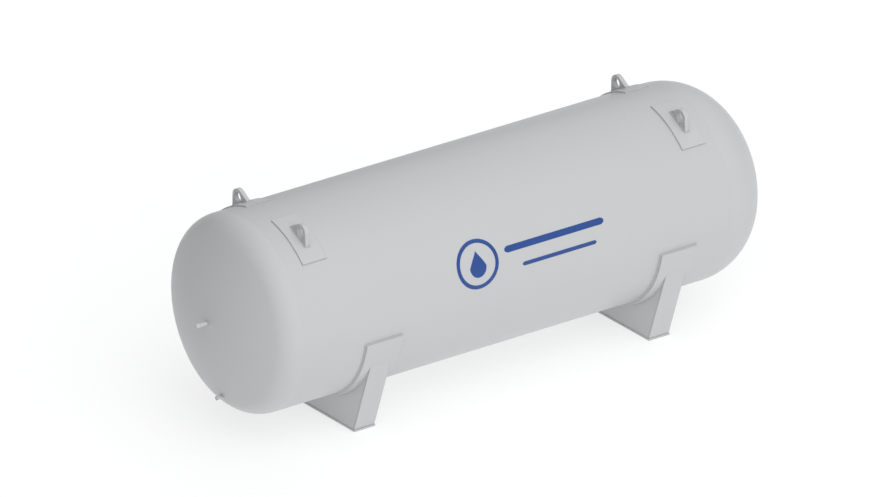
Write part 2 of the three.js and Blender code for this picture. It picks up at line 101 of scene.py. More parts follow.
def studio():
    """A soft studio dome: brightest over the near side, darkest behind the piping head, with three small soft boxes."""
    world = bpy.data.worlds.new("studio")
    scene.world = world
    world.use_nodes = True
    nt = world.node_tree
    nt.nodes.clear()
    out = nt.nodes.new("ShaderNodeOutputWorld")
    bg = nt.nodes.new("ShaderNodeBackground")
    tc = nt.nodes.new("ShaderNodeTexCoord")

    def m(op, a, b=None):
        n = nt.nodes.new("ShaderNodeMath")
        n.operation = op
        for i, v in enumerate((a, b)):
            if v is None:
                continue
            if isinstance(v, (int, float)):
                n.inputs[i].default_value = v
            else:
                nt.links.new(v, n.inputs[i])
        return n.outputs[0]

    total = None
    for power, way, tight in BANKS:
        dot = nt.nodes.new("ShaderNodeVectorMath")
        dot.operation = "DOT_PRODUCT"
        nt.links.new(tc.outputs["Generated"], dot.inputs[0])
        dot.inputs[1].default_value = Vector(way).normalized()
        lobe = m("MULTIPLY", m("EXPONENT", m("MULTIPLY", m("SUBTRACT", dot.outputs["Value"], 1.0), tight)), power)
        total = lobe if total is None else m("ADD", total, lobe)
    nt.links.new(m("MULTIPLY", m("ADD", total, ENV_BASE), ENV_GAIN), bg.inputs["Strength"])
    bg.inputs["Color"].default_value = (0.985, 0.993, 1.0, 1)
    nt.links.new(bg.outputs[0], out.inputs[0])


studio()


# ------------------------------------------------------------------ materials
class Nodes:
    """Short helper for one material's node tree."""

    def __init__(self, name):
        self.mat = bpy.data.materials.new(name)
        self.mat.use_nodes = True
        self.t = self.mat.node_tree
        self.bsdf = next(n for n in self.t.nodes if n.type == "BSDF_PRINCIPLED")
        self.tc = self.t.nodes.new("ShaderNodeTexCoord")
        self.at = self.tc.outputs["Object"]

    def node(self, kind, **settings):
        n = self.t.nodes.new(kind)
        for k, v in settings.items():
            setattr(n, k, v)
        return n

    def link(self, a, b):
        self.t.links.new(a, b)
        return a

    def put(self, socket, value):
        if isinstance(value, (int, float, tuple)):
            socket.default_value = value
        else:
            self.link(value, socket)

    def scaled(self, sx, sy, sz):
        n = self.node("ShaderNodeMapping")
        n.inputs["Scale"].default_value = (sx, sy, sz)
        self.link(self.at, n.inputs["Vector"])
        return n.outputs[0]

    def noise(self, scale, detail=3.0, rough=0.5, at=None, distortion=0.0):
        n = self.node("ShaderNodeTexNoise")
        n.inputs["Scale"].default_value = scale
        n.inputs["Detail"].default_value = detail
        n.inputs["Roughness"].default_value = rough
        n.inputs["Distortion"].default_value = distortion
        self.link(at or self.at, n.inputs["Vector"])
        return n.outputs["Fac"]

    def voronoi(self, scale, feature="F1", at=None):
        n = self.node("ShaderNodeTexVoronoi", feature=feature)
        n.inputs["Scale"].default_value = scale
        self.link(at or self.at, n.inputs["Vector"])
        return n.outputs["Distance"]

    def wave(self, scale, axis="X", distortion=0.0, at=None):
        n = self.node("ShaderNodeTexWave", bands_direction=axis)
        n.inputs["Scale"].default_value = scale
        n.inputs["Distortion"].default_value = distortion
        self.link(at or self.at, n.inputs["Vector"])
        return n.outputs["Fac"]

    def ramp(self, fac, stops):
        n = self.node("ShaderNodeValToRGB")
        n.color_ramp.elements[0].position, n.color_ramp.elements[0].color = stops[0][0], self.rgba(stops[0][1])
        n.color_ramp.elements[1].position, n.color_ramp.elements[1].color = stops[-1][0], self.rgba(stops[-1][1])
        for p, c in stops[1:-1]:
            e = n.color_ramp.elements.new(p)
            e.color = self.rgba(c)
        self.link(fac, n.inputs[0])
        return n.outputs[0]

    @staticmethod
    def rgba(c):
        return (c, c, c, 1) if isinstance(c, (int, float)) else (*c, 1)

    def math(self, op, a, b=0.0, clamp=False):
        n = self.node("ShaderNodeMath", operation=op, use_clamp=clamp)
        self.put(n.inputs[0], a)
        self.put(n.inputs[1], b)
        return n.outputs[0]

    def mix(self, fac, a, b, blend="MIX"):
        n = self.node("ShaderNodeMix", data_type="RGBA", blend_type=blend)
        self.put(n.inputs[0], fac)
        self.put(n.inputs[6], self.rgba(a) if isinstance(a, (int, float, tuple)) else a)
        self.put(n.inputs[7], self.rgba(b) if isinstance(b, (int, float, tuple)) else b)
        return n.outputs[2]

    def span(self, fac, lo, hi):
        n = self.node("ShaderNodeMapRange")
        self.link(fac, n.inputs["Value"])
        n.inputs["To Min"].default_value, n.inputs["To Max"].default_value = lo, hi
        return n.outputs[0]

    def bump(self, *layers):
        """layers of (height 0 to 1, distance in metres), finest last."""
        normal = None
        for height, distance in layers:
            n = self.node("ShaderNodeBump")
            n.inputs["Distance"].default_value = distance
            n.inputs["Strength"].default_value = 1.0
            self.link(height, n.inputs["Height"])
            if normal is not None:
                self.link(normal, n.inputs["Normal"])
            normal = n.outputs[0]
        self.link(normal, self.bsdf.inputs["Normal"])

    def finish(self, color, rough, metal=0.0):
        self.put(self.bsdf.inputs["Base Color"], self.rgba(color) if isinstance(color, (int, float, tuple)) else color)
        self.put(self.bsdf.inputs["Roughness"], rough)
        self.put(self.bsdf.inputs["Metallic"], metal)
        return self.mat


def scale_rgb(c, k):
    return tuple(min(1.0, v * k) for v in c)


def paint(name, base, rough=(0.33, 0.42), peel=0.00005, dust_shade_amount=0.1, gloss=0.1):
    """Sprayed two-pack paint: slight tone drift, a fine orange peel, and painted shade darkening the colour in corners
    and gaps, broken up like dust.
    """
    m = Nodes(name)
    drift = m.noise(1.3, 2.0)
    mottle = m.noise(38.0, 4.0, 0.6)
    tone = m.mix(drift, scale_rgb(base, 0.985), scale_rgb(base, 1.015))
    tone = m.mix(m.span(mottle, 0.0, 0.12), tone, scale_rgb(base, 0.93))
    # painted shade: the colour darkens where ambient occlusion finds corners, gaps and plate edges, broken up by noise
    # like dust
    ao = m.node("ShaderNodeAmbientOcclusion", samples=6)
    ao.inputs["Distance"].default_value = 0.012
    corner_dust_shade = m.math("MULTIPLY", m.math("SUBTRACT", 1.0, ao.outputs["AO"]), m.span(m.noise(60.0, 3.0), 0.4, 1.0))
    tone = m.mix(m.math("MULTIPLY", corner_dust_shade, dust_shade_amount * 4, clamp=True), tone, scale_rgb(base, 0.35))
    m.bsdf.inputs["Specular IOR Level"].default_value = gloss
    m.bump((m.noise(3.2, 1.0), 0.0006), (m.noise(620.0, 1.5, 0.4), peel))
    return m.finish(tone, m.span(m.noise(9.0, 3.0), *rough))


def metal(name, base, rough=(0.25, 0.4), stretch=(1, 1, 1), scale=160.0, bump=0.00002):
    """Rolled or machined metal with a directional grain."""
    m = Nodes(name)
    grain = m.noise(scale, 4.0, 0.65, at=m.scaled(*stretch))
    cloud = m.noise(14.0, 3.0)
    tone = m.mix(grain, scale_rgb(base, 0.86), scale_rgb(base, 1.08))
    tone = m.mix(m.span(cloud, 0.0, 0.25), tone, scale_rgb(base, 0.8))
    m.bump((cloud, 0.0001), (grain, bump))
    return m.finish(tone, m.span(grain, *rough), 1.0)


GREY = (0.548, 0.555, 0.562)
MAT = {
    "shell": paint("paint_shell", GREY, dust_shade_amount=0.16),
    "head": paint("paint_head", GREY, rough=(0.3, 0.38), dust_shade_amount=0.16),
    "plate": paint("paint_plate", GREY, rough=(0.34, 0.45), peel=0.00007, dust_shade_amount=0.2),
    "lug": paint("paint_lug", GREY, rough=(0.34, 0.45), peel=0.00007, dust_shade_amount=0.12),
    # weld beads are painted darker than the plates, as painted shade along the plate edges they run on
    "weld": paint("paint_weld_shaded", scale_rgb(GREY, 0.84), peel=0.00004, dust_shade_amount=0.2),
    "fitting": paint("paint_fitting", scale_rgb(GREY, 0.93), rough=(0.38, 0.5), dust_shade_amount=0.12),
    "stub": paint("paint_stub", scale_rgb(GREY, 1.06), rough=(0.38, 0.5), peel=0.00003, dust_shade_amount=0.3),
    "stainless": metal("steel_stainless", (0.62, 0.62, 0.61), (0.24, 0.38), (0.05, 1, 1), 240.0),
    "vessel": metal("steel_vessel", (0.60, 0.60, 0.59), (0.28, 0.42), (1, 0.05, 0.05), 90.0, 0.00005),
    "zinc": metal("steel_zinc", (0.66, 0.67, 0.70), (0.3, 0.45), (1, 1, 1), 120.0),
    "plain_steel": metal("steel_plain", (0.36, 0.36, 0.365), (0.4, 0.6), (1, 1, 1), 70.0, 0.00006),
}


def rubber():
    m = Nodes("seal_rubber")
    m.bump((m.noise(900.0, 2.0), 0.00002))
    return m.finish(m.mix(m.noise(80.0, 3.0), 0.012, 0.03), m.span(m.noise(200.0), 0.5, 0.7))


def foil():
    m = Nodes("insulation_foil")
    crease = m.voronoi(22.0, "DISTANCE_TO_EDGE")
    fine = m.noise(55.0, 5.0, 0.7, distortion=1.5)
    m.bump((m.math("MINIMUM", crease, 0.2), 0.006), (fine, 0.0025))
    return m.finish(m.mix(fine, (0.72, 0.73, 0.75), (0.9, 0.9, 0.91)), m.span(fine, 0.16, 0.34), 1.0)


def fibreglass():
    m = Nodes("support_fibreglass")
    weave_a = m.wave(160.0, "X", 0.4)
    weave_b = m.wave(160.0, "Z", 0.4)
    weave = m.math("MULTIPLY", weave_a, weave_b)
    tone = m.mix(weave, (0.30, 0.34, 0.14), (0.46, 0.47, 0.24))
    m.bump((weave, 0.0002))
    return m.finish(tone, m.span(m.noise(60.0), 0.4, 0.6))


def marking():
    m = Nodes("marking_blue")
    tone = m.mix(m.noise(30.0, 3.0), (0.013, 0.058, 0.25), (0.017, 0.068, 0.28))
    m.bump((m.noise(620.0, 1.5, 0.4), 0.00004))
    return m.finish(tone, m.span(m.noise(9.0, 3.0), 0.36, 0.46))


MAT["rubber"], MAT["foil"], MAT["fibreglass"], MAT["marking"] = rubber(), foil(), fibreglass(), marking()

# ------------------------------------------------------------------ mesh building


def build(name, verts, faces, mat, body="tank", replaces=(), slot=None, sharp=38.0, weighted=False):
    """A mesh piece from points in mm about the tank axis."""
    v = np.asarray(verts, float).copy()
    v[:, 2] += AX
    me = bpy.data.meshes.new(name)
    me.from_pydata((v * 0.001).tolist(), [], faces)
    me.validate()
    bm = bmesh.new()
    bm.from_mesh(me)
    bmesh.ops.remove_doubles(bm, verts=bm.verts, dist=1e-7)
    bmesh.ops.recalc_face_normals(bm, faces=bm.faces)
    bm.to_mesh(me)
    bm.free()
    return place(name, me, mat, body, replaces, sharp, weighted)


def place(name, me, mat, body, replaces, sharp, weighted):
    me.polygons.foreach_set("use_smooth", [True] * len(me.polygons))
    me.set_sharp_from_angle(angle=math.radians(sharp))
    ob = bpy.data.objects.new(name, me)
    scene.collection.objects.link(ob)
    me.materials.clear()
    me.materials.append(MAT[mat] if isinstance(mat, str) else mat)
    if weighted:
        w = ob.modifiers.new("normals", "WEIGHTED_NORMAL")
        w.keep_sharp = True
        w.weight = 80
    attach(ob, body)
    if replaces:
        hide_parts(*([replaces] if isinstance(replaces, str) else replaces))
    return ob


def grid_faces(rows, cols, wrap_rows, wrap_cols, base=0):
    faces = []
    for i in range(rows if wrap_rows else rows - 1):
        i2 = (i + 1) % rows
        for j in range(cols if wrap_cols else cols - 1):
            j2 = (j + 1) % cols
            faces.append((base + i * cols + j, base + i * cols + j2, base + i2 * cols + j2, base + i2 * cols + j))
    return faces


def lathe_data(profile, seg, y0=0.0, z0=0.0, phase=0.0, radius=None):
    """Points and faces of [x, r] turned about X. radius(x, r, angle) may vary the radius round it."""
    pts = list(profile)
    poles = []
    closed = pts[0][1] > 1e-6
    if not closed:
        poles = [pts[0][0], pts[-1][0]]
        pts = pts[1:-1]
    ang = phase + 2 * np.pi * np.arange(seg) / seg
    verts = []
    for x, r in pts:
        rr = np.full(seg, r) if radius is None else radius(x, r, ang)
        verts.append(np.stack([np.full(seg, x), y0 + rr * np.sin(ang), z0 + rr * np.cos(ang)], 1))
    verts = np.concatenate(verts)
    faces = grid_faces(len(pts), seg, closed, True)
    if poles:
        n = len(verts)
        verts = np.concatenate([verts, [[poles[0], y0, z0], [poles[1], y0, z0]]])
        last = (len(pts) - 1) * seg
        for j in range(seg):
            faces.append((n, (j + 1) % seg, j))
            faces.append((n + 1, last + j, last + (j + 1) % seg))
    return verts, faces


def lathe(name, profile, seg, mat, y0=0.0, z0=0.0, **kw):
    extra = {k: kw.pop(k) for k in ("phase", "radius") if k in kw}
    verts, faces = lathe_data(profile, seg, y0, z0, **extra)
    return build(name, verts, faces, mat, **kw)


def rounded(points, radius, steps=4, closed=True):
    """A polygon with its corners turned to arcs. radius is one number, or one per corner."""
    n = len(points)
    out = []
    for i, p in enumerate(points):
        r = radius[i] if isinstance(radius, (list, tuple)) else radius
        if (not closed and i in (0, n - 1)) or r <= 0:
            out.append(tuple(p))
            continue
        p = np.array(p, float)
        a, b = np.array(points[i - 1], float) - p, np.array(points[(i + 1) % n], float) - p
        la, lb = np.linalg.norm(a), np.linalg.norm(b)
        a, b = a / la, b / lb
        cosang = float(np.clip(a @ b, -1, 1))
        half = math.acos(cosang) / 2
        if half > math.radians(84):
            out.append(tuple(p))
            continue
        cut = min(r / math.tan(half), 0.45 * la, 0.45 * lb)
        rr = cut * math.tan(half)
        centre = p + (a + b) / np.linalg.norm(a + b) * (rr / math.sin(half))
        s, e = p + a * cut - centre, p + b * cut - centre
        t0, t1 = math.atan2(s[1], s[0]), math.atan2(e[1], e[0])
        dt = (t1 - t0 + math.pi) % (2 * math.pi) - math.pi
        for k in range(steps + 1):
            t = t0 + dt * k / steps
            out.append((centre[0] + rr * math.cos(t), centre[1] + rr * math.sin(t)))
    return out


def dish(spec, offset, nk, nc, stop=0.0):
    """[x, r] from the tangent line towards the pole, ending at radius stop."""
    R, c, k, x0, d = spec["R"], spec["crown"], spec["knuckle"], spec["tangent"], spec["d"]
    h = math.sqrt((c - k) ** 2 - (R - k) ** 2)
    join = math.asin((R - k) / (c - k))
    pts = []
    for i in range(nk + 1):
        t = math.pi / 2 + (join - math.pi / 2) * i / nk
        pts.append((x0 + d * (k + offset) * math.cos(t), R - k + (k + offset) * math.sin(t)))
    end = math.asin(stop / (c + offset)) if stop else 0.0
    for i in range(1, nc + 1):
        t = join + (end - join) * i / nc
        pts.append((x0 - d * h + d * (c + offset) * math.cos(t), (c + offset) * math.sin(t)))
    if not stop:
        pts[-1] = (pts[-1][0], 0.0)
    return pts


def head_x(spec, r, offset=0.0):
    """Where the head's surface is at a radius from the axis, and the way it slopes (unit dx, dr)."""
    R, c, k, x0, d = spec["R"], spec["crown"], spec["knuckle"], spec["tangent"], spec["d"]
    h = math.sqrt((c - k) ** 2 - (R - k) ** 2)
    join = math.asin((R - k) / (c - k))
    if r <= (c + offset) * math.sin(join):
        t = math.asin(r / (c + offset))
        return x0 - d * h + d * (c + offset) * math.cos(t), t
    t = math.asin(min(1.0, (r - (R - k)) / (k + offset)))
    return x0 + d * (k + offset) * math.cos(t), t


def head_profile(spec, outside, inside, out_n, in_n, stop=0.0):
    outer = dish(spec, outside, *out_n, stop)
    inner = dish(spec, inside, *in_n, stop)
    return outer[::-1] + inner


def prism(name, outline, x0, x1, mat, holes=(), bevel=0.0, segments=2, turn=0.0, sharp=38.0, **kw):
    """A [y, z] outline pushed along X, its sharp edges rounded. turn is degrees about X from the top."""
    loops = [list(outline)] + [list(h) for h in holes]
    flat = [p for loop in loops for p in loop]
    n = len(flat)
    verts = [(x0, y, z) for y, z in flat] + [(x1, y, z) for y, z in flat]
    tris = tessellate_polygon([[Vector((y, z, 0)) for y, z in loop] for loop in loops])
    bm = bmesh.new()
    vs = [bm.verts.new(v) for v in verts]
    for t in tris:
        for off in (0, n):
            try:
                bm.faces.new([vs[i + off] for i in (t if off else t[::-1])])
            except ValueError:
                pass
    start = 0
    for loop in loops:
        m = len(loop)
        for i in range(m):
            a, b = start + i, start + (i + 1) % m
            bm.faces.new((vs[a], vs[b], vs[b + n], vs[a + n]))
        start += m
    bmesh.ops.recalc_face_normals(bm, faces=bm.faces)
    if bevel:
        bm.edges.ensure_lookup_table()
        edges = [e for e in bm.edges if len(e.link_faces) == 2 and e.calc_face_angle(0) > math.radians(50)]
        bmesh.ops.bevel(bm, geom=edges, offset=bevel, offset_type="OFFSET", segments=segments, profile=0.5,
                        affect="EDGES", clamp_overlap=True)
    co = np.array([v.co for v in bm.verts])
    bm.verts.ensure_lookup_table()
    faces = [[v.index for v in f.verts] for f in bm.faces]
    bm.free()
    if turn:
        a = math.radians(turn)
        y, z = co[:, 1].copy(), co[:, 2].copy()
        co[:, 1], co[:, 2] = y * math.cos(a) + z * math.sin(a), -y * math.sin(a) + z * math.cos(a)
    return build(name, co, faces, mat, sharp=sharp, weighted=True, **kw)


def arc(r, a0, a1, step=1.5):
    n = max(2, int(math.ceil(abs(a1 - a0) / step)) + 1)
    return [(r * math.sin(math.radians(a)), r * math.cos(math.radians(a))) for a in np.linspace(a0, a1, n)]


def ring(r, n=48, y0=0.0, z0=0.0):
    return [(y0 + r * math.sin(2 * math.pi * i / n), z0 + r * math.cos(2 * math.pi * i / n)) for i in range(n)]


def unit(v):
    return v / np.maximum(np.linalg.norm(v, axis=-1, keepdims=True), 1e-9)


def resample(path, arrays, step, closed):
    """Path points at an even step, with arrays of vectors carried along."""
    p = np.asarray(path, float)
    extra = [np.asarray(a, float) for a in arrays]
    if closed:
        p = np.vstack([p, p[:1]])
        extra = [np.vstack([a, a[:1]]) for a in extra]
    seg = np.linalg.norm(np.diff(p, axis=0), axis=1)
    # a corner's toe fans out over many directions at one point, so it gets a little length of its own
    turn = sum(np.linalg.norm(np.diff(a, axis=0), axis=1) for a in extra)
    seg = seg + turn * step * 2.0
    s = np.concatenate([[0], np.cumsum(seg)])
    n = max(8, int(round(s[-1] / step)))
    t = np.linspace(0, s[-1], n + 1)
    if closed:
        t = t[:-1]
    get = lambda a: np.stack([np.interp(t, s, a[:, k]) for k in range(a.shape[1])], 1)
    return get(p), [unit(get(a)) for a in extra], t


def bead(name, path, A, B, leg, mat="weld", closed=True, pitch=6.0, step=1.6, bulge=0.16, body="tank", flat_toe=None):
    """A fillet weld along a corner: A lies on one surface and B on the other, both pointing away from the corner."""
    p, (a, b), dist = resample(path, (A, B), step, closed)
    n = len(p)
    tangent = unit((np.roll(p, -1, 0) - np.roll(p, 1, 0)) if closed else np.gradient(p, axis=0))
    slow = np.interp(dist, np.linspace(0, dist[-1] + step, 40), rng.normal(0, 1, 40))
    if closed:
        w = np.clip((dist[-1] - dist) / 40.0, 0, 1)
        slow = slow * w
    size = leg * (1 + 0.05 * np.clip(slow, -2, 2))
    if not closed:
        edge = np.minimum(dist, dist[-1] - dist)
        size = size * (0.35 + 0.65 * np.clip(edge / (leg * 0.8), 0, 1) ** 0.5)
    ts = np.linspace(0, 1, 6)
    rings = []
    for t in ts:
        ripple = np.abs(np.sin(np.pi * (dist + 2.2 * 4 * t * (1 - t)) / pitch))
        lift = bulge * math.sin(math.pi * t) * (0.72 + 0.34 * ripple)
        q = a * (1 - t) + b * t + (a + b) * 0.707 * lift[:, None]
        rings.append(p + q * size[:, None])
    rings.append(p - (a + b) * (0.12 * leg))
    verts = np.stack(rings, 1).reshape(-1, 3)
    k = len(rings)
    faces = grid_faces(n, k, closed, True)
    if not closed:
        faces.append(tuple(range(k))[::-1])
        faces.append(tuple((n - 1) * k + i for i in range(k)))
    return build(name, verts, faces, mat, body=body, sharp=70.0, slot="jacket_paint")


def on_shell(x, angle, r=R0):
    a = np.radians(angle)
    return np.stack([np.broadcast_to(x, np.shape(a)).astype(float), r * np.sin(a), r * np.cos(a)], -1)


def radial(angle):
    a = np.radians(angle)
    return np.stack([np.zeros(np.shape(a)), np.sin(a), np.cos(a)], -1)


def around(angle):
    a = np.radians(angle)
    return np.stack([np.zeros(np.shape(a)), np.cos(a), -np.sin(a)], -1)


def patch_bead(name, x0, x1, a0, a1, leg):
    """The weld round a curved rectangle that lies on the shell."""
    path, A, B = [], [], []
    ex = np.array([1.0, 0, 0])
    # side at x1, from a0 to a1, then back at x0; a at each corner turns through the quarter
    for x, s, lo, hi in ((x1, 1, a0, a1), (x0, -1, a1, a0)):
        angs = np.linspace(lo, hi, max(6, int(abs(hi - lo) / 1.0)))
        for i, an in enumerate(angs):
            path.append(on_shell(x, an)); A.append(s * ex); B.append(radial(an))
        way = around(hi) * (1 if hi > lo else -1)
        for q in (0.25, 0.5, 0.75, 1.0):
            path.append(on_shell(x, hi)); B.append(radial(hi))
            A.append(math.cos(q * math.pi / 2) * s * ex + math.sin(q * math.pi / 2) * way)
        path.append(on_shell(-x + x0 + x1, hi)); A.append(way); B.append(radial(hi))
        for q in (0.25, 0.5, 0.75):
            path.append(on_shell(-x + x0 + x1, hi)); B.append(radial(hi))
            A.append(math.cos(q * math.pi / 2) * way - math.sin(q * math.pi / 2) * s * ex)
    return bead(name, path, A, B, leg)


def ring_bead(name, spec, r, z0, leg, y0=0.0, way=-1):
    """The weld where a pipe along X leaves a dished head."""
    path, A, B = [], [], []
    for i in range(72):
        t = 2 * math.pi * i / 72
        y, z = y0 + r * math.sin(t), z0 + r * math.cos(t)
        rr = math.hypot(y, z)
        x, tilt = head_x(spec, rr)
        path.append((x, y, z))
        normal = np.array([spec["d"] * math.cos(tilt), math.sin(tilt) * y / max(rr, 1e-6), math.sin(tilt) * z / max(rr, 1e-6)])
        out = np.array([0, math.sin(t), math.cos(t)])
        A.append(unit(out - (out @ normal) * normal))
        B.append((float(way), 0, 0))
    return bead(name, path, A, B, leg, pitch=4.0, step=1.0)


def tube_along(name, points, r, bore, mat, sides=28, step=6.0, **kw):
    """A pipe along a smooth curve through the points."""
    pts = np.asarray(points, float)
    t = np.concatenate([[0], np.cumsum(np.linalg.norm(np.diff(pts, axis=0), axis=1) ** 0.5)])
    dense = []
    ext = np.vstack([2 * pts[0] - pts[1], pts, 2 * pts[-1] - pts[-2]])
    te = np.concatenate([[-t[1]], t, [t[-1] + (t[-1] - t[-2])]])
    for i in range(1, len(ext) - 2):
        p0, p1, p2, p3 = ext[i - 1:i + 3]
        t0, t1, t2, t3 = te[i - 1:i + 3]
        for u in np.linspace(t1, t2, 24, endpoint=i == len(ext) - 3):
            a1 = (t1 - u) / (t1 - t0) * p0 + (u - t0) / (t1 - t0) * p1
            a2 = (t2 - u) / (t2 - t1) * p1 + (u - t1) / (t2 - t1) * p2
            a3 = (t3 - u) / (t3 - t2) * p2 + (u - t2) / (t3 - t2) * p3
            b1 = (t2 - u) / (t2 - t0) * a1 + (u - t0) / (t2 - t0) * a2
            b2 = (t3 - u) / (t3 - t1) * a2 + (u - t1) / (t3 - t1) * a3
            dense.append((t2 - u) / (t2 - t1) * b1 + (u - t1) / (t2 - t1) * b2)
    dense = np.array(dense)
    s = np.concatenate([[0], np.cumsum(np.linalg.norm(np.diff(dense, axis=0), axis=1))])
    n = max(4, int(s[-1] / step))
    q = np.linspace(0, s[-1], n + 1)
    p = np.stack([np.interp(q, s, dense[:, k]) for k in range(3)], 1)
    tan = unit(np.gradient(p, axis=0))
    side = np.array([0.0, 1.0, 0.0])
    other = unit(np.cross(tan, side))
    ang = 2 * np.pi * np.arange(sides) / sides
    rings = []
    for rad, order in ((r, range(n + 1)), (bore, range(n, -1, -1))):
        for i in order:
            rings.append(p[i] + rad * (np.sin(ang)[:, None] * side + np.cos(ang)[:, None] * other[i]))
    verts = np.concatenate(rings)
    return build(name, verts, grid_faces(2 * (n + 1), sides, True, True), mat, **kw)


def subtract(ob, *tools):
    """Cuts holes in a piece and keeps only the result."""
    for tool in tools:
        mod = ob.modifiers.new("cut", "BOOLEAN")
        mod.operation, mod.object, mod.solver = "DIFFERENCE", tool, "EXACT"
    bpy.context.view_layer.update()
    dg = bpy.context.evaluated_depsgraph_get()
    me = bpy.data.meshes.new_from_object(ob.evaluated_get(dg))
    ob.modifiers.clear()
    old = ob.data
    ob.data = me
    bpy.data.meshes.remove(old)
    me.name = ob.name
    me.polygons.foreach_set("use_smooth", [True] * len(me.polygons))
    me.set_sharp_from_angle(angle=math.radians(38))
    for tool in tools:
        data = tool.data
        bpy.data.objects.remove(tool)
        bpy.data.meshes.remove(data)


def cutter(r, x0, x1, y0, z0, n=64):
    verts, faces = lathe_data([(x0, 0), (x0, r), (x1, r), (x1, 0)], n, y0, z0)
    v = verts.copy()
    v[:, 2] += AX
    me = bpy.data.meshes.new("cutter")
    me.from_pydata((v * 0.001).tolist(), [], faces)
    bm = bmesh.new()
    bm.from_mesh(me)
    bmesh.ops.recalc_face_normals(bm, faces=bm.faces)
    bm.to_mesh(me)
    bm.free()
    ob = bpy.data.objects.new("cutter", me)
    scene.collection.objects.link(ob)
    return ob


# ------------------------------------------------------------------ vacuum jacket
SEG = 192
lathe("shell_barrel", rounded([(FRONT["tangent"] + 0.2, R0), (REAR["tangent"] - 0.2, R0),
                               (REAR["tangent"] - 0.2, R0 - WALL), (FRONT["tangent"] + 0.2, R0 - WALL)], 0.6, 2),
      SEG, "shell", replaces="jacket_shell", slot="jacket_paint")
front = lathe("dished_head_front", head_profile(FRONT, 0, -WALL, (16, 26), (10, 10), GAS["r"] + 0.15),
              SEG, "head", replaces="jacket_front_head", slot="jacket_paint")
subtract(front, cutter(LIQ["r"] + 0.15, -1850, -1700, 0, LIQ["z"]))
rear = lathe("dished_head_rear", head_profile(REAR, 0, -WALL, (24, 22), (14, 8), 44.65),
             SEG, "head", replaces="jacket_rear_head", slot="jacket_paint")
subtract(rear, cutter(24.3, 1780, 1900, 0, PORT_Z))


def seam(name, x, half=4.0, height=0.12):
    """A girth weld, ground nearly flush."""
    n = 1400
    ang = 2 * np.pi * np.arange(n) / n
    dist = ang * R0
    rows = []
    for t in np.linspace(0, 1, 7):
        ripple = np.abs(np.sin(np.pi * np.round(dist[-1] / 6.0) * (ang / (2 * np.pi)) + 1.1 * math.sin(math.pi * t)))
        r = R0 - 0.25 + (height + 0.25) * math.sin(math.pi * t) ** 0.6 * (0.8 + 0.2 * ripple)
        rows.append(np.stack([np.full(n, x + (t - 0.5) * 2 * half), r * np.sin(ang), r * np.cos(ang)], 1))
    rows.append(np.stack([np.full(n, x), (R0 - 1.5) * np.sin(ang), (R0 - 1.5) * np.cos(ang)], 1))
    return build(name, np.concatenate(rows), grid_faces(len(rows), n, True, True), "shell", slot="jacket_paint", sharp=70.0)


seam("girth_weld_front", FRONT["tangent"])
seam("girth_weld_rear", REAR["tangent"])

for i, x in enumerate((-500.0, 500.0)):
    ro = R0 - WALL - 0.3
    lathe(f"inner_ring_{i + 1}", rounded([(x - 4, ro), (x + 4, ro), (x + 4, ro - 40), (x - 4, ro - 40)], 0.8, 2),
          144, "plain_steel", replaces=f"jacket_stiffening_ring_{i + 1}", slot="plain_steel")

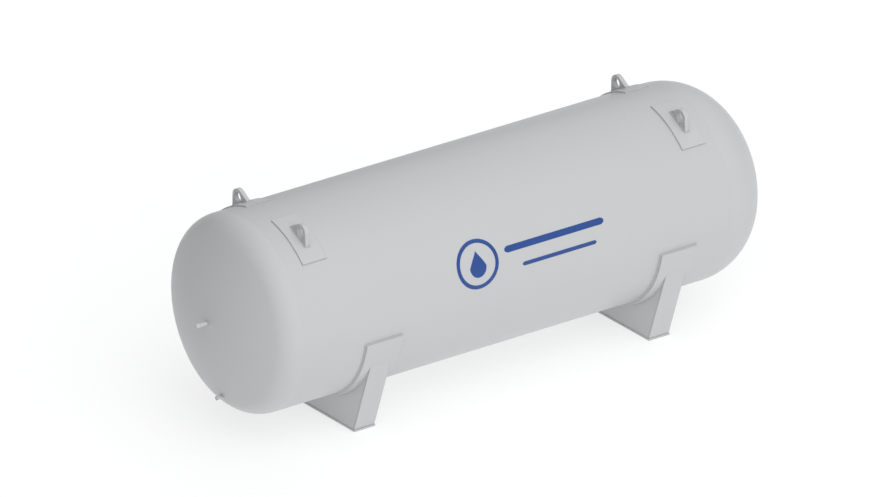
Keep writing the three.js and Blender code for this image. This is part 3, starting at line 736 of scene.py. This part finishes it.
# ------------------------------------------------------------------ lugs and pads
for end in ("front", "rear"):
    for side, s in SIDES:
        a0, a1 = (PAD_A[0] * s, PAD_A[1] * s) if s > 0 else (PAD_A[1] * s, PAD_A[0] * s)
        outline = arc(R0 + 0.1, a0, a1, 1.2) + arc(R0 + PAD_T, a1, a0, 1.2)
        prism(f"doubler_{end}_{side}", outline, *PAD_X[end], "plate", bevel=1.2, segments=2,
              replaces=f"lug_pad_{end}_{side}", slot="jacket_paint")
        patch_bead(f"doubler_weld_{end}_{side}", *PAD_X[end], a0, a1, 3.2)

        foot = math.sqrt((R0 + PAD_T) ** 2 - LUG_HALF ** 2)
        d = math.hypot(LUG_HALF, LUG_C - foot)
        touch = math.atan2(foot - LUG_C, LUG_HALF) + math.acos(LUG_R / d)
        head_arc = [(LUG_R * math.cos(t), LUG_C + LUG_R * math.sin(t)) for t in np.linspace(touch, math.pi - touch, 41)]
        half_a = math.degrees(math.asin(LUG_HALF / (R0 + PAD_T)))
        bottom = arc(R0 + PAD_T + 0.1, -half_a, half_a, 1.0)
        sides_r = [(LUG_HALF, foot + 2)]
        sides_l = [(-LUG_HALF, foot + 2)]
        outline = bottom + sides_r + head_arc + sides_l
        x = LUG_X[end]
        prism(f"lug_{end}_{side}", outline, x - LUG_T / 2, x + LUG_T / 2, "lug", holes=[ring(EYE_R, 64, 0, LUG_C)],
              bevel=1.6, segments=3, turn=s * LUG_A, replaces=f"lifting_lug_{end}_{side}", slot="jacket_paint")
        # weld round the foot of the lug, on the pad
        path, A, B = [], [], []
        mid = s * LUG_A
        up = radial(mid)
        ex = np.array([1.0, 0, 0])
        rp = R0 + PAD_T
        lean_y, lean_z = LUG_R * math.cos(touch) - LUG_HALF, LUG_C + LUG_R * math.sin(touch) - foot - 4
        tilt = math.atan2(-lean_y, lean_z)
        for xs, sg, lo, hi in ((x + LUG_T / 2, 1, mid - half_a, mid + half_a), (x - LUG_T / 2, -1, mid + half_a, mid - half_a)):
            for an in np.linspace(lo, hi, 16):
                path.append(on_shell(xs, an, rp)); A.append(sg * ex); B.append(up)
            turned = 1 if hi > lo else -1
            way = around(hi) * turned
            leant = unit(up * math.cos(tilt) - around(mid) * turned * math.sin(tilt))
            for q in (0.3, 0.6, 1.0):
                path.append(on_shell(xs, hi, rp)); B.append(leant)
                A.append(math.cos(q * math.pi / 2) * sg * ex + math.sin(q * math.pi / 2) * way)
            path.append(on_shell(2 * x - xs, hi, rp)); A.append(way); B.append(leant)
            for q in (0.3, 0.6):
                path.append(on_shell(2 * x - xs, hi, rp)); B.append(leant)
                A.append(math.cos(q * math.pi / 2) * way - math.sin(q * math.pi / 2) * sg * ex)
        bead(f"lug_weld_{end}_{side}", path, A, B, 8.0, pitch=5.0, step=1.4)

# ------------------------------------------------------------------ box saddles
lean = math.atan2(SIDE_TOP[0] - SIDE_FOOT[0], SIDE_TOP[1] - SIDE_FOOT[1])
across = SIDE_T / math.cos(lean)
RW = R0 + WEAR_T
floor_z = -AX + BASE_T


def outer_y(z):
    return SIDE_FOOT[0] + (z - SIDE_FOOT[1]) * math.tan(lean)


def meet(offset, r=RW + 0.1):
    """Where a line parallel to the side plate's outer face, offset inward, meets the wear plate."""
    lo, hi = -700.0, -200.0
    f = lambda z: math.hypot(outer_y(z) - offset, z) - r
    for _ in range(60):
        m = (lo + hi) / 2
        if f(m) > 0:
            lo = m
        else:
            hi = m
    return outer_y(lo) - offset, lo


def angle_of(y, z):
    return math.degrees(math.atan2(y, z))


for end in ("front", "rear"):
    xc = SADDLE_X[end]
    x0, x1 = xc - BOX_W / 2, xc + BOX_W / 2
    outline = arc(R0 + 0.1, WEAR_A, 360 - WEAR_A, 1.5) + arc(RW, 360 - WEAR_A, WEAR_A, 1.5)
    prism(f"wear_plate_{end}", outline, *WEAR_X[end], "plate", bevel=1.8, segments=2,
          replaces=f"saddle_wear_plate_{end}", slot="jacket_paint")
    patch_bead(f"wear_plate_weld_{end}", *WEAR_X[end], WEAR_A, 360 - WEAR_A, 8.0)

    for side, s in SIDES:
        oy, oz = meet(0.0)
        iy, iz = meet(across)
        rim = arc(RW + 0.1, angle_of(oy, oz), angle_of(iy, iz), 0.5)
        outline = [(outer_y(floor_z) - across, floor_z), (outer_y(floor_z), floor_z)] + rim
        prism(f"saddle_side_{end}_{side}", [(s * y, z) for y, z in outline], x0, x1, "plate", bevel=1.5, segments=2,
              replaces=f"saddle_side_plate_{end}_{side}", slot="jacket_paint")
        n = 30
        xs = np.linspace(x0, x1, n)
        path = np.stack([xs, np.full(n, s * oy), np.full(n, oz)], 1)
        up_a = around(angle_of(oy, oz)) * -1
        up_a = np.array([0, s * up_a[1], up_a[2]])
        down = unit(np.array([0, s * (outer_y(oz - 10) - outer_y(oz)), -10.0]))
        bead(f"saddle_side_weld_{end}_{side}", path, np.tile(up_a, (n, 1)), np.tile(down, (n, 1)), 7.0, mat="plate", closed=False)

    wy, wz = meet(across + 0.3)
    aw = angle_of(wy, wz)
    rim = arc(RW + 0.1, aw, 360 - aw, 1.5)
    fy = outer_y(floor_z) - across - 0.3
    outline = [(-fy, floor_z), (fy, floor_z)] + rim
    for face, xa, xb, sg in (("front", x0, x0 + WEB_T, -1), ("rear", x1 - WEB_T, x1, 1)):
        prism(f"saddle_web_{end}_{face}", outline, xa, xb, "plate", bevel=1.0, segments=2,
              replaces=f"saddle_{face}_web_{end}", slot="jacket_paint")
        n = 140
        oy, oz = meet(0.0)
        angs = np.linspace(aw + 0.25, 360 - aw - 0.25, n)
        xf = xa if sg < 0 else xb
        bead(f"saddle_web_weld_{end}_{face}", on_shell(xf, angs, RW), np.tile([float(sg), 0, 0], (n, 1)), radial(angs), 7.0,
             closed=False)
        # the corner welds where web and side plates meet, ground back
        for side, s in SIDES:
            zz = np.linspace(floor_z + 3, oz - 6, 60)
            path = np.stack([np.full(60, xf), np.array([s * (outer_y(z) - across - 0.15) for z in zz]), zz], 1)
            a_dir = np.tile([float(sg) * 0.35, -s * 0.94, 0.0], (60, 1))
            b_dir = np.tile([float(sg) * 0.35, s * 0.94, 0.0], (60, 1))
            bead(f"saddle_corner_weld_{end}_{face}_{side}", path, a_dir, b_dir, 3.2, mat="plate", closed=False, bulge=0.1)
    outline = rounded([(-BASE_HALF, -AX), (BASE_HALF, -AX), (BASE_HALF, floor_z), (-BASE_HALF, floor_z)], 0.0)
    prism(f"saddle_base_{end}", outline, xc - BASE_W / 2, xc + BASE_W / 2, "plate", bevel=1.2, segments=2,
          replaces=f"saddle_base_plate_{end}", slot="jacket_paint")

# ------------------------------------------------------------------ pipe stubs
for name, s, node in (("gas_stub", GAS, "gas_stub_pipe"), ("liquid_stub", LIQ, "liquid_stub_pipe")):
    lathe(name, rounded([(s["tip"], s["r"]), (s["end"], s["r"]), (s["end"], s["bore"]), (s["tip"], s["bore"])],
                        [1.0, 0.2, 0.2, 0.5], 3), 48, "stub", z0=s["z"], replaces=node, slot="stainless")
    ring_bead(name + "_weld", FRONT, s["r"], s["z"], 3.5)
for name, s in (("gas", GAS), ("liquid", LIQ)):
    x = s["tip"] + 1.0
    lathe(f"{name}_stub_blank", rounded([(x + 1.2, 0), (x + 1.2, 6.4), (x, 7.2), (x, 9.3), (x + 16, 9.3), (x + 16, 0)],
                                        [0, 0.5, 0.4, 0.7, 0.6, 0], 3, False),
          48, "stub", z0=s["z"], body=f"{name}_plug", replaces=f"{name}_stub_plug", slot="fitting_paint")

# ------------------------------------------------------------------ inside the jacket
lathe("inner_vessel_barrel", rounded([(V_FRONT["tangent"] + 0.2, 480), (V_REAR["tangent"] - 0.2, 480),
                                      (V_REAR["tangent"] - 0.2, 474), (V_FRONT["tangent"] + 0.2, 474)], 0.5, 2),
      128, "vessel", replaces="vessel_shell", slot="stainless")
lathe("inner_vessel_head_front", head_profile(V_FRONT, 0, -6, (12, 12), (8, 6)), 128, "vessel",
      replaces="vessel_front_head", slot="stainless")
lathe("inner_vessel_head_rear", head_profile(V_REAR, 0, -6, (14, 12), (10, 6)), 128, "vessel",
      replaces="vessel_rear_head", slot="stainless")


def crinkle(ob, amount=0.0016):
    """Loose foil: dents and ridges pushed into the blanket's outer face."""
    tex = bpy.data.textures.new(ob.name, "CLOUDS")
    tex.noise_scale, tex.noise_depth = 0.045, 3
    mod = ob.modifiers.new("crinkle", "DISPLACE")
    mod.texture, mod.strength, mod.mid_level = tex, amount * 2, 0.9
    mod.texture_coords = "LOCAL"


def ring_rows(x0, x1, n, r):
    return [(x, r) for x in np.linspace(x0, x1, n)]


crinkle(lathe("foil_wrap", ring_rows(V_FRONT["tangent"] + 0.4, V_REAR["tangent"] - 0.4, 150, 500.0)
              + ring_rows(V_REAR["tangent"] - 0.4, V_FRONT["tangent"] + 0.4, 6, 481.0), 180, "foil",
              replaces="insulation_wrap", slot="insulation_foil"))
crinkle(lathe("foil_blanket_front", head_profile(V_FRONT, 20, 1.2, (14, 22), (8, 6)), 150, "foil",
              replaces="insulation_front_blanket", slot="insulation_foil"))
crinkle(lathe("foil_blanket_rear", head_profile(V_REAR, 20, 1.2, (16, 20), (8, 6)), 150, "foil",
              replaces="insulation_rear_blanket", slot="insulation_foil"))

for end in ("front", "rear"):
    for i, a in enumerate((45.0, 135.0, 225.0, 315.0)):
        verts, faces = lathe_data(rounded([(481.5, 0), (481.5, 40), (590.0, 40), (590.0, 0)], [0, 2, 2, 0], 3, False), 48)
        r, u, w = verts[:, 0], verts[:, 1], verts[:, 2]
        ca, sa = math.cos(math.radians(a)), math.sin(math.radians(a))
        v = np.stack([SADDLE_X[end] + u, r * sa + w * ca, r * ca - w * sa], 1)
        build(f"glassfibre_post_{end}_{i + 1}", v, faces, "fibreglass", replaces=f"support_post_{end}_{i + 1}",
              slot="fibreglass")

can_x0, can_x1 = 125.0, 425.0
verts, faces = lathe_data(rounded([(can_x0, 0), (can_x0, 22), (can_x1, 22), (can_x1, 0)], [0, 4, 4, 0], 4, False), 48, 0, -548.0)
canister = build("adsorbent_can", verts, faces, "plain_steel", replaces="adsorbent_canister", slot="plain_steel")
for i, x in enumerate((185.0, 365.0)):
    foot = prism(f"adsorbent_can_foot_{i + 1}", [(-13, -535), (13, -535), (13, -481.5), (-13, -481.5)], x - 4, x + 4,
                 "plain_steel", bevel=0.8, slot="plain_steel")

tube_along("gas_pipe_inside", [(GAS["end"] + 0.3, 0, 0), (-1872, 0, 0), (-1860, 0, 18), (-1853, 0, 70), (-1842, 0, 180),
                               (-1815, 0, 300), (-1781, 0, 400), (-1733, 0, 478), (-1650, 0, 536), (-1560, 0, 548),
                               (-1450, 0, 546), (-1400, 0, 528), (-1390, 0, 502), (-1390, 0, 481.6)],
           9.0, 6.5, "stainless", replaces="gas_line", slot="stainless")
tube_along("liquid_pipe_inside", [(LIQ["end"] + 0.3, 0, -493), (-1712, 0, -493), (-1694, 0, -502), (-1660, 0, -538),
                                  (-1600, 0, -548), (-1500, 0, -548), (-1440, 0, -538), (-1425, 0, -524),
                                  (-1420, 0, -502), (-1420, 0, -481.6)],
           9.0, 6.5, "stainless", replaces="liquid_line", slot="stainless")

# ------------------------------------------------------------------ jacket relief device
lathe("relief_flange", rounded([(1860, 39.5), (1860, 44.5), (1919, 44.5), (1919, 76), (1933, 76), (1933, 51.5), (1929, 51.5),
                                (1929, 45.5), (1933, 45.5), (1933, 39.5)],
                               [0.4, 0.4, 4, 1.5, 1.5, 0.4, 0.4, 0.4, 0.4, 0.6], 4), 120, "fitting",
      replaces="relief_neck", slot="fitting_paint")
ring_bead("relief_flange_weld", REAR, 44.5, 0.0, 6.0, way=1)
lathe("relief_o_ring", [(1932.0 + 2.3 * math.cos(t), 48.5 + 2.3 * math.sin(t)) for t in np.linspace(0, 2 * math.pi, 17)[:-1]],
      120, "rubber", replaces="relief_seal", slot="rubber")
lathe("relief_disc", rounded([(1934.8, 0), (1934.8, 57), (1944.8, 57), (1944.8, 40), (1943.6, 38.5), (1943.6, 22), (1944.8, 20.5),
                              (1944.8, 12), (1950.8, 12), (1950.8, 0)], [0, 1.5, 1.5, 0.3, 0.3, 0.3, 0.3, 1.0, 1.5, 0], 4, False),
      96, "stainless", body="relief_plate", replaces="relief_plate", slot="stainless")
lathe("relief_disc_seat", [(1934.35 + 0.5 * math.cos(t), 48.5 + 4.6 * math.sin(t)) for t in np.linspace(0, 2 * math.pi, 17)[:-1]],
      96, "stainless", body="relief_plate", slot="stainless")


def thread_radius(pitch, depth):
    def f(x, r, ang):
        if r < 4.9:
            return np.full(len(ang), r)
        ph = (x / pitch - ang / (2 * np.pi)) % 1.0
        return r - depth * np.abs(2 * ph - 1)
    return f


def hex_radius(flat, x0, x1):
    def f(x, r, ang):
        if r < 6:
            return np.full(len(ang), r)
        local = (ang + math.pi / 6) % (math.pi / 3) - math.pi / 6
        hexr = (flat / 2) / np.cos(local)
        cap = flat / 2 * 0.96 + min(x - x0, x1 - x) * 1.75
        return np.minimum(hexr, cap)
    return f


spots = [(66 * math.sin(math.radians(a)), 66 * math.cos(math.radians(a))) for a in (0, 120, 240)]
for i, (y, z) in enumerate(spots):
    rows = [(1933.2, 0), (1933.2, 6.6), (1933.6, 7.0), (1962.8, 7.0), (1963.3, 6.6), (1963.3, 5.0)]
    rows += [(x, 5.0) for x in np.arange(1963.6, 1976.2, 0.1875)] + [(1976.4, 4.5), (1976.9, 4.0), (1976.9, 0)]

    def post_radius(x, r, ang, f=thread_radius(1.5, 0.75)):
        return f(x, r, ang) if r == 5.0 and x > 1963.4 else np.full(len(ang), r)
    lathe(f"guide_post_{i + 1}", rows, 36, "zinc", y0=y, z0=z, radius=post_radius, sharp=30.0,
          replaces=f"relief_guide_post_{i + 1}", slot="plain_steel")
    x0, x1 = 1969.8, 1976.4
    rows = [(x0, 5.25), (x0, 7.6)] + [(x, 9.0) for x in np.concatenate([np.linspace(x0 + 0.02, x0 + 1.0, 6),
                                                                       np.linspace(x1 - 1.0, x1 - 0.02, 6)])] + [(x1, 7.6), (x1, 5.25)]
    lathe(f"guide_nut_{i + 1}", rows, 72, "zinc", y0=y, z0=z, radius=hex_radius(16.0, x0, x1), sharp=25.0,
          replaces=f"relief_nut_{i + 1}", slot="plain_steel")
prism("stop_ring", ring(76, 120), 1963.5, 1969.5, "fitting", holes=[ring(34, 80)] + [ring(5.3, 32, y, z) for y, z in spots],
      bevel=0.8, segments=2, replaces="relief_stop_ring", slot="fitting_paint")

# ------------------------------------------------------------------ vacuum pump-out port
lathe("pump_out_body", rounded([(1812, 19), (1812, 24.15), (1890, 24.15), (1890, 21.5), (1869, 21.5), (1868, 19)],
                               [0.4, 0.4, 0.8, 0.5, 0.3, 0.3], 3), 72, "stainless", z0=PORT_Z,
      replaces="vacuum_port_body", slot="stainless")
ring_bead("pump_out_weld", REAR, 24.15, PORT_Z, 5.0, way=1)
lathe("pump_out_plug", rounded([(1850, 0), (1850, 18.7), (1857, 18.7), (1857, 15.4), (1861, 15.4), (1861, 18.7), (1868, 18.7),
                                (1868, 6), (1878, 6), (1878, 0)], [0, 0.6, 0.3, 0.3, 0.3, 0.3, 0.8, 0.8, 1.0, 0], 3, False),
      64, "zinc", z0=PORT_Z, body="vacuum_plug", replaces="vacuum_port_plug", slot="plain_steel")
lathe("pump_out_o_ring", [(1859 + 1.45 * math.cos(t), 17.25 + 1.45 * math.sin(t)) for t in np.linspace(0, 2 * math.pi, 15)[:-1]],
      72, "rubber", z0=PORT_Z, body="vacuum_plug", replaces="vacuum_port_seal", slot="rubber")


def fluted(x, r, ang):
    if r < 27.0 or not 1874 < x < 1904:
        return np.full(len(ang), r)
    return r - 0.9 * np.clip(np.cos(ang * 30) * 1.6 - 0.6, 0, 1)


cap_rows = rounded([(1907, 0), (1907, 24.5), (1870, 24.5), (1870, 28), (1911, 28), (1911, 0)], [0, 1.5, 0.4, 1.0, 2.5, 0], 4, False)
dense = []
for (xa, ra), (xb, rb) in zip(cap_rows[:-1], cap_rows[1:]):
    n = max(1, int(abs(xb - xa) / 2.5)) if abs(ra - rb) < 0.1 and ra > 27 else 1
    dense += [(xa + (xb - xa) * k / n, ra + (rb - ra) * k / n) for k in range(n)]
dense.append(cap_rows[-1])
lathe("pump_out_cap", dense, 240, "fitting", z0=PORT_Z, body="vacuum_cap", radius=fluted, sharp=30.0,
      replaces="vacuum_port_cap", slot="fitting_paint")

# ------------------------------------------------------------------ plain blue marking: a ring with a drop, and two stripes


def decal(name, loops_to_fill, lift=0.45):
    """A thin painted shape on the near side of the shell. Points are [along the tank, up the shell] in mm from MARK."""
    quads_v, quads_f = loops_to_fill
    top = np.array(quads_v, float)
    n = len(top)
    x = MARK[0] + top[:, 0]
    ang = np.radians(-MARK[1]) + top[:, 1] / R0
    layer = lambda r: np.stack([x, r * np.sin(ang), r * np.cos(ang)], 1)
    verts = np.concatenate([layer(R0 + lift), layer(R0 - 0.6)])
    faces = [tuple(f) for f in quads_f] + [tuple(n + i for i in f[::-1]) for f in quads_f]
    edges = {}
    for f in quads_f:
        for a, b in zip(f, list(f[1:]) + [f[0]]):
            edges[(a, b)] = edges.get((a, b), 0) + 1
    for (a, b) in edges:
        if (b, a) not in edges:
            faces.append((b, a, n + a, n + b))
    return build(name, verts, faces, "marking", slot="jacket_paint", sharp=30.0)


def polar(outer, inner, n=120, rings=5):
    """A filled band between two closed curves given as functions of angle."""
    v, f = [], []
    for k in range(rings + 1):
        for i in range(n):
            t = 2 * math.pi * i / n
            a, b = outer(t), inner(t)
            w = k / rings
            v.append((b[0] + (a[0] - b[0]) * w, b[1] + (a[1] - b[1]) * w))
    f = grid_faces(rings + 1, n, False, True)
    return v, f


def bar(x0, x1, y0, y1, step=12.0):
    nx, ny = max(2, int((x1 - x0) / step)), max(2, int((y1 - y0) / step) + 1)
    r = (y1 - y0) / 2
    v = []
    for j in range(ny + 1):
        y = y0 + (y1 - y0) * j / ny
        trim = r - math.sqrt(max(0.0, r * r - (y - (y0 + y1) / 2) ** 2))
        for i in range(nx + 1):
            v.append((x0 + trim + (x1 - x0 - 2 * trim) * i / nx, y))
    return v, grid_faces(ny + 1, nx + 1, False, False)


MARK = (-386.0, 73.0)
decal("marking_ring", polar(lambda t: (148 * math.cos(t), 148 * math.sin(t)), lambda t: (124 * math.cos(t), 124 * math.sin(t))))


def drop(t, k=1.0):
    # round below, drawn to a point above
    x = 58 * math.cos(t) * (1 if math.sin(t) < 0 else (1 - math.sin(t)) ** 0.75)
    y = 62 * math.sin(t) if math.sin(t) < 0 else 98 * math.sin(t)
    return k * x, k * y - 18


decal("marking_drop", polar(drop, lambda t: drop(t, 0.005), n=96, rings=6))
decal("marking_stripe_wide", bar(198, 912, 14, 54))
decal("marking_stripe_thin", bar(310, 842, -90, -66))

# ------------------------------------------------------------------ floor
floor_me = bpy.data.meshes.new("floor")
floor_me.from_pydata([(-40, -40, -0.0005), (40, -40, -0.0005), (40, 40, -0.0005), (-40, 40, -0.0005)], [], [(0, 1, 2, 3)])
floor = bpy.data.objects.new("floor", floor_me)
scene.collection.objects.link(floor)
fm = Nodes("floor_paper")
floor_me.materials.append(fm.finish((0.4, 0.4, 0.4), 0.9))
fm.bsdf.inputs["Emission Color"].default_value = (1.0, 1.0, 1.0, 1)
fm.bsdf.inputs["Emission Strength"].default_value = 0.65
fm.bsdf.inputs["Specular IOR Level"].default_value = 0.1
